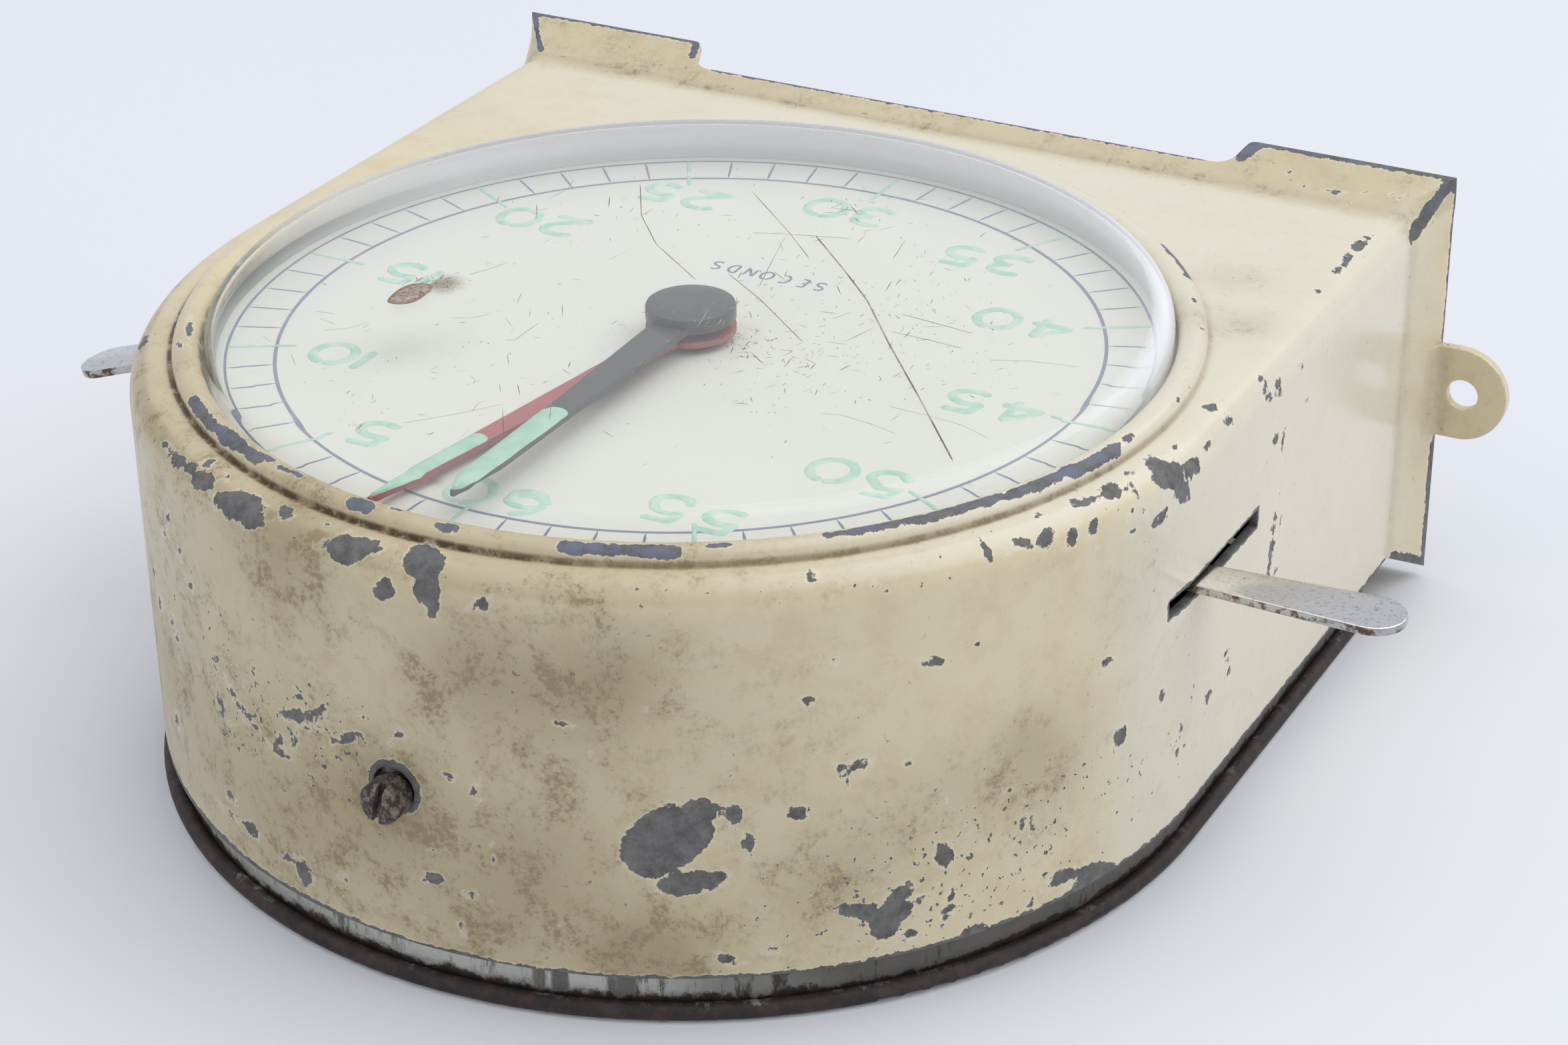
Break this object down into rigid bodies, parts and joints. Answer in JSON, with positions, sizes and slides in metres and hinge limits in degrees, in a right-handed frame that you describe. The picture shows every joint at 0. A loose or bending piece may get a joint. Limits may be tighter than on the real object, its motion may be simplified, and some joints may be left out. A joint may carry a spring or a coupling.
{
  "type": "darkroom timer",
  "caption": "Mains darkroom timer with a round luminous dial in a D-shaped pressed case on a flared foot, two hands that reset to zero, and a lever at each side.",
  "frame": {"origin": "on the hand axis, at the plane of the back cover that the timer rests on", "axes": "+Z out through the dial, +Y towards the flared foot below the 30 mark, +X towards the start lever at the 45 mark"},
  "size_m": [0.2067, 0.1638, 0.0672],
  "materials": {
    "cream_enamel": "gloss stoved enamel, chipped",
    "tinplate": "dull tinplate with rust streaks",
    "rusty_steel": "rusted",
    "steel": "satin",
    "chrome": "bright, rust specks",
    "brass": "satin",
    "dial_paint": "satin",
    "clear_plastic": "clear, scratched",
    "black_paint": "satin",
    "red_paint": "satin",
    "lume": "matt luminous paint",
    "bakelite": "moulded",
    "fibre": "matt",
    "rubber": "matt",
    "magnet": "ground",
    "winding": "enamelled copper wire"
  },
  "bodies": {
    "case": {"case_shell": "cream_enamel", "foot_plate": "steel", "back_cover": "tinplate", "cover_lug": "steel", "lug_rivets": "steel", "case_screw": "rusty_steel", "cord_grommet": "rubber", "crystal": "clear_plastic", "dial_plate": "dial_paint", "dial_feet": "brass", "wall_brackets": "steel", "bracket_screws": "steel", "front_plate": "brass", "back_plate": "brass", "pillars": "brass", "pillar_screws": "steel", "hand_bush": "brass", "motor_can": "steel", "coil_bobbin": "fibre", "coil_winding": "winding", "stator_plate": "steel", "motor_posts": "brass", "start_stud": "steel", "reset_stud": "steel", "switch_block": "bakelite", "switch_blades": "brass", "terminal_block": "bakelite", "terminal_screws": "brass"},
    "seconds": {"seconds_arbor": "steel", "clutch_spring": "steel", "clutch_collar": "brass", "seconds_pinion": "steel", "seconds_heart": "steel", "seconds_hand": "black_paint", "seconds_lume": "lume", "hand_cap": "black_paint"},
    "minutes": {"minutes_pipe": "brass", "minutes_heart": "steel", "minutes_wheel": "brass", "minutes_hand": "red_paint", "minutes_lume": "lume"},
    "transfer": {"transfer_arbor": "steel", "transfer_wheel": "brass", "transfer_pinion": "steel"},
    "drive": {"drive_wheel": "brass"},
    "middle": {"middle_arbor": "steel", "middle_wheel": "brass", "middle_pinion": "steel"},
    "first": {"first_arbor": "steel", "first_wheel": "brass", "first_pinion": "steel"},
    "rotor": {"rotor_arbor": "steel", "rotor_magnet": "magnet", "rotor_pinion": "steel"},
    "start": {"start_lever": "chrome", "start_pin": "fibre"},
    "reset": {"reset_lever": "chrome", "reset_hammer": "steel", "reset_spring": "steel"}
  },
  "joints": [
    {"name": "seconds_spin", "type": "hinge", "parent": "case", "child": "seconds", "pos_m": [0, 0, 0.04], "axis": [0, 0, 1], "continuous": true},
    {"name": "minutes_spin", "type": "hinge", "parent": "case", "child": "minutes", "pos_m": [0, 0, 0.05], "axis": [0, 0, 1], "continuous": true},
    {"name": "transfer_spin", "type": "hinge", "parent": "case", "child": "transfer", "pos_m": [0.01388, -0.01655, 0.037], "axis": [0, 0, 1], "continuous": true},
    {"name": "rotor_spin", "type": "hinge", "parent": "case", "child": "rotor", "pos_m": [-0.0061, 0.04259, 0.02], "axis": [0, 0, 1], "continuous": true},
    {"name": "first_spin", "type": "hinge", "parent": "case", "child": "first", "pos_m": [0.01045, 0.0287, 0.037], "axis": [0, 0, 1], "continuous": true},
    {"name": "middle_spin", "type": "hinge", "parent": "case", "child": "middle", "pos_m": [-0.00913, 0.01958, 0.037], "axis": [0, 0, 1], "continuous": true},
    {"name": "drive_spin", "type": "hinge", "parent": "case", "child": "drive", "pos_m": [0, 0, 0.02675], "axis": [0, 0, 1], "continuous": true},
    {"name": "start_swing", "type": "hinge", "parent": "case", "child": "start", "pos_m": [0.046, -0.001, 0.0402], "axis": [0, 0, 1], "range_deg": [-11, 24]},
    {"name": "reset_swing", "type": "hinge", "parent": "case", "child": "reset", "pos_m": [-0.032, 0.0106, 0.0402], "axis": [0, 0, 1], "range_deg": [-9.1, 0], "stiffness_Nm_per_rad": 0.1, "springref_deg": 20.05}
  ],
  "couplings": [
    {"joint": "minutes_spin", "follows": "seconds_spin", "ratio": 0.016667},
    {"joint": "transfer_spin", "follows": "seconds_spin", "ratio": -0.125},
    {"joint": "first_spin", "follows": "rotor_spin", "ratio": -0.125},
    {"joint": "middle_spin", "follows": "rotor_spin", "ratio": 0.025},
    {"joint": "drive_spin", "follows": "rotor_spin", "ratio": -0.005}
  ]
}
